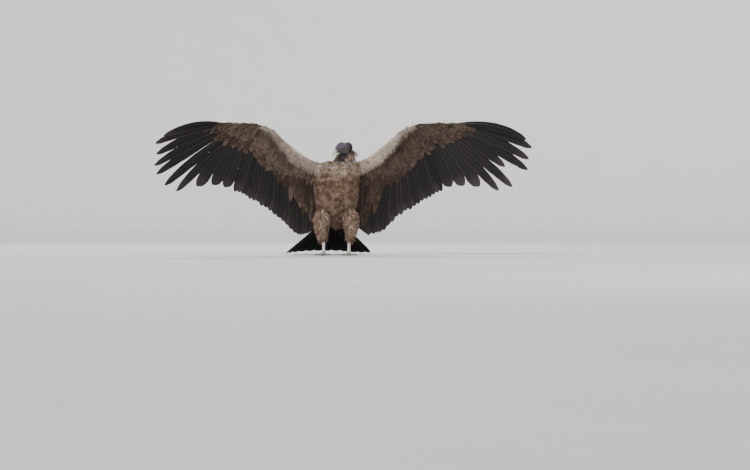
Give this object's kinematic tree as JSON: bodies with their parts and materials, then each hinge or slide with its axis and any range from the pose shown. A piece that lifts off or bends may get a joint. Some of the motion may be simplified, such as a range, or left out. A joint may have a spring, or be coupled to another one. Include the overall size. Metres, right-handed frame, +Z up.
{
  "type": "andean condor",
  "caption": "Life-size young Andean condor standing upright with both wings spread and raised to the sun, head turned to its right, for display.",
  "frame": {"origin": "middle of the whole outline's box, at floor level under the bird", "axes": "+Z up, -Y the way the breast faces, +X towards the bird's left wing"},
  "size_m": [2.612, 0.8882, 0.9383],
  "materials": {
    "plumage_body": "matt, soft brown body feathers",
    "down_ruff": "matt buff down",
    "plumage_inner_wing": "dark brown flight feathers under paler brown coverts",
    "plumage_hand": "near-black flight feathers with a faint sheen",
    "plumage_tail": "near-black tail feathers",
    "skin_head": "bare dark grey wrinkled skin",
    "skin_comb": "bare purplish-grey skin",
    "horn_bill": "satin ivory horn, dark at the base",
    "skin_leg": "whitened scaly skin",
    "horn_claw": "worn dark horn",
    "eye": "clear, wet, dark brown"
  },
  "bodies": {
    "root": {"torso": "plumage_body", "neck": "down_ruff", "head": "skin_head", "comb": "skin_comb", "bill_upper": "horn_bill", "bill_lower": "horn_bill", "tail": "plumage_tail", "eye_left": "eye", "wing_left_arm": "plumage_inner_wing", "wing_left_hand": "plumage_hand", "thigh_left": "plumage_body", "shank_left": "skin_leg", "foot_left": "skin_leg", "claw_left_middle": "horn_claw", "claw_left_inner": "horn_claw", "claw_left_outer": "horn_claw", "claw_left_hind": "horn_claw", "eye_right": "eye", "wing_right_arm": "plumage_inner_wing", "wing_right_hand": "plumage_hand", "thigh_right": "plumage_body", "shank_right": "skin_leg", "foot_right": "skin_leg", "claw_right_middle": "horn_claw", "claw_right_inner": "horn_claw", "claw_right_outer": "horn_claw", "claw_right_hind": "horn_claw"}
  },
  "joints": []
}
